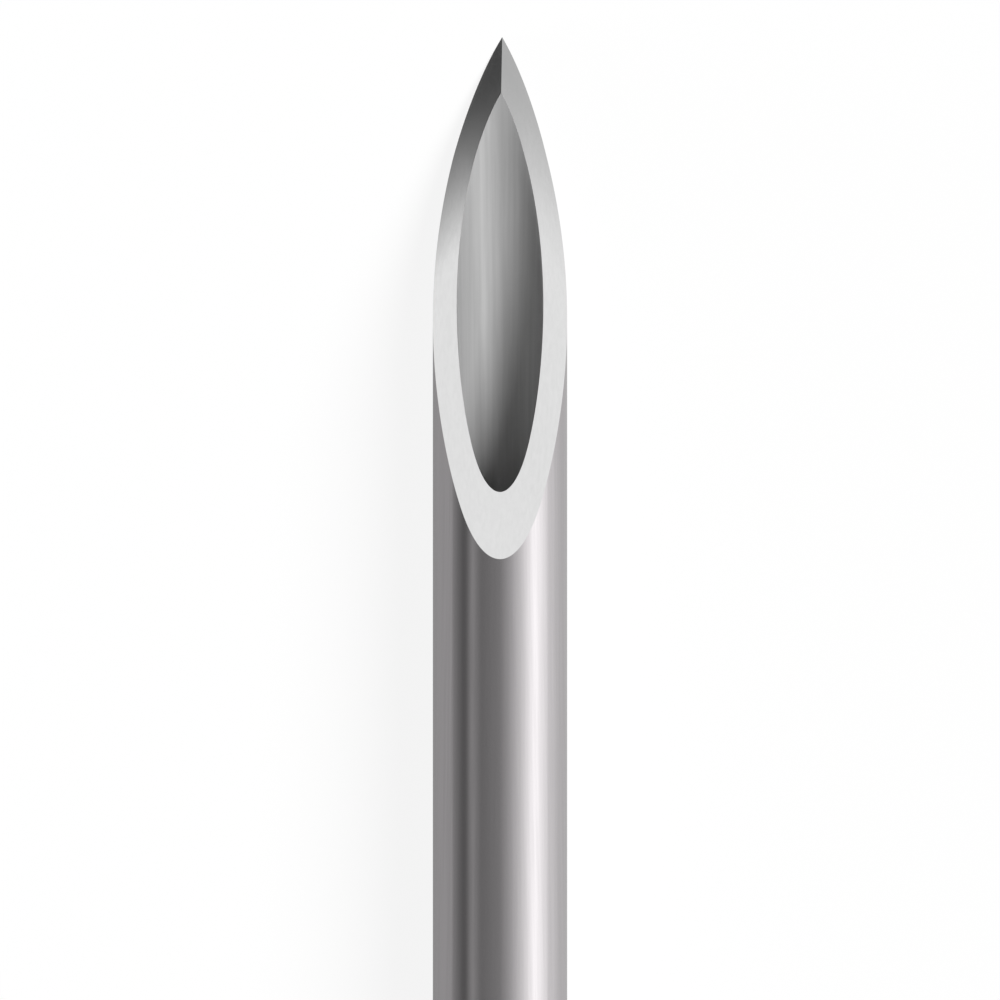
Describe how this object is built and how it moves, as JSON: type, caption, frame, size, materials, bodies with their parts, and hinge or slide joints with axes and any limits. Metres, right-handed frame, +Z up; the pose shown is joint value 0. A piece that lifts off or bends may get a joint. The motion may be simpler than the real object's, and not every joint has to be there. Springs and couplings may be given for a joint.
{
  "type": "spinal needle",
  "caption": "Long hollow steel needle with a dished, sharply ground point, a clear hub with a tapered socket, and a sliding steel stylet with a coloured cap.",
  "frame": {"origin": "on the tube's axis, where the tube leaves the nose of the hub", "axes": "+X along the needle to the tip, which lies 1.7 degrees below the hub; +Z up, the side the ground face opens to; +Y across"},
  "size_m": [0.1438, 0.0078, 0.0082],
  "materials": {
    "tube_steel": "polished shaft, finely ground point",
    "hub_plastic": "clear, moulded",
    "adhesive": "cured, glossy",
    "wire_steel": "drawn",
    "cap_plastic": "moulded, satin"
  },
  "bodies": {
    "needle": {"cannula": "tube_steel", "needle_hub": "hub_plastic", "bond_ring": "adhesive"},
    "stylet": {"stylet_wire": "wire_steel", "stylet_cap": "cap_plastic"}
  },
  "joints": [
    {"name": "stylet_slide", "type": "slide", "parent": "needle", "child": "stylet", "axis": [-0.9996, 0, 0.03], "range_m": [-0.02, 0.092]}
  ]
}
